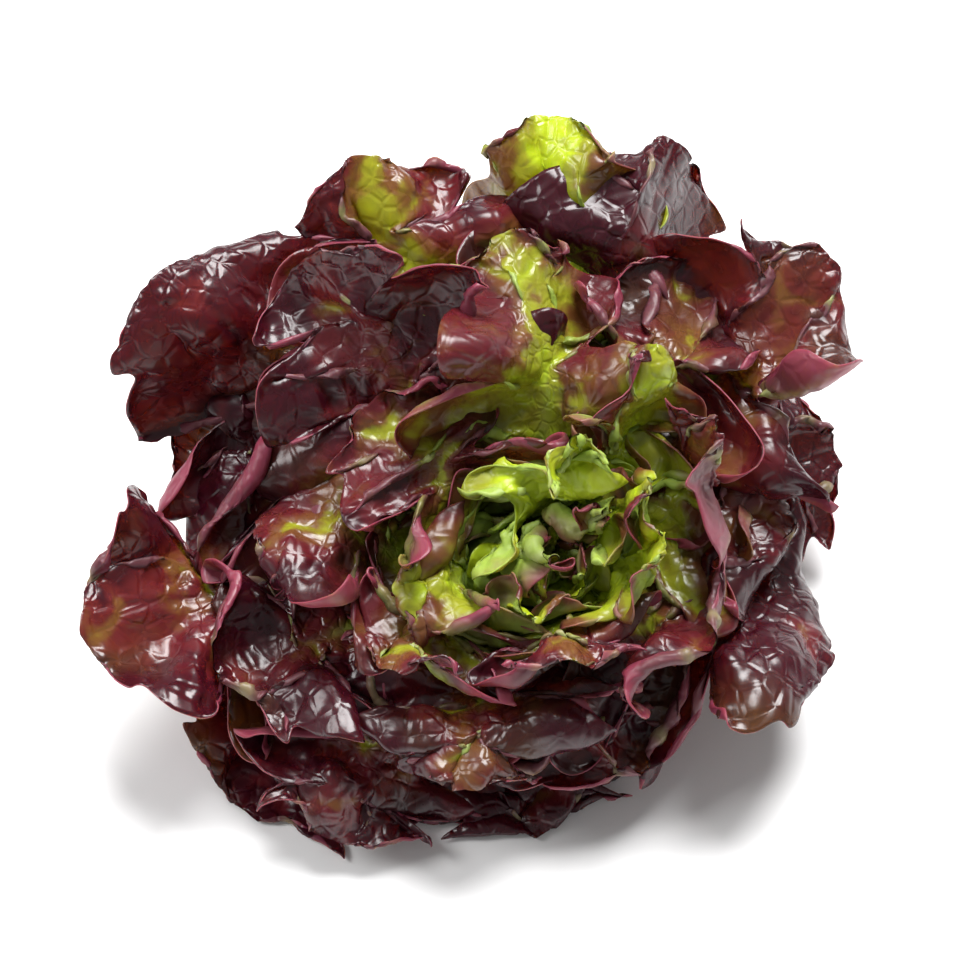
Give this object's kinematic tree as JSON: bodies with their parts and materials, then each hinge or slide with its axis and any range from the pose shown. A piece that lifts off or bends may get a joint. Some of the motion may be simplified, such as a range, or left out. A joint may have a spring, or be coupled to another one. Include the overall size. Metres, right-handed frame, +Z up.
{
  "type": "head of lettuce",
  "caption": "Loose open head of red oak-leaf lettuce: lobed, curled leaves in a spiral round a short stem, resting on its cut stem end.",
  "frame": {"origin": "middle of the flat cut face at the bottom of the stem", "axes": "+Z up from the cut face; -Y is the front, the side the head has flopped towards; +X is to the right seen from the front"},
  "size_m": [0.292, 0.2523, 0.1627],
  "materials": {
    "stem": "moist, pale green-white",
    "outer_leaf": "glossy dark burgundy leaf",
    "middle_leaf": "glossy copper-red leaf over olive green",
    "heart_leaf": "satin yellow-green leaf"
  },
  "bodies": {
    "root": {"stem": "stem", "leaf_01": "outer_leaf", "leaf_02": "outer_leaf", "leaf_03": "outer_leaf", "leaf_04": "outer_leaf", "leaf_05": "outer_leaf", "leaf_06": "outer_leaf", "leaf_07": "outer_leaf", "leaf_08": "outer_leaf", "leaf_09": "outer_leaf", "leaf_10": "outer_leaf", "leaf_11": "outer_leaf", "leaf_12": "outer_leaf", "leaf_13": "outer_leaf", "leaf_14": "outer_leaf", "leaf_15": "outer_leaf", "leaf_16": "middle_leaf", "leaf_17": "middle_leaf", "leaf_18": "middle_leaf", "leaf_19": "middle_leaf", "leaf_20": "middle_leaf", "leaf_21": "middle_leaf", "leaf_22": "middle_leaf", "leaf_23": "middle_leaf", "leaf_24": "middle_leaf", "leaf_25": "middle_leaf", "leaf_26": "middle_leaf", "leaf_27": "heart_leaf", "leaf_28": "heart_leaf", "leaf_29": "heart_leaf", "leaf_30": "heart_leaf", "leaf_31": "heart_leaf", "leaf_32": "heart_leaf", "leaf_33": "heart_leaf", "leaf_34": "heart_leaf", "leaf_35": "heart_leaf", "leaf_36": "heart_leaf"}
  },
  "joints": []
}
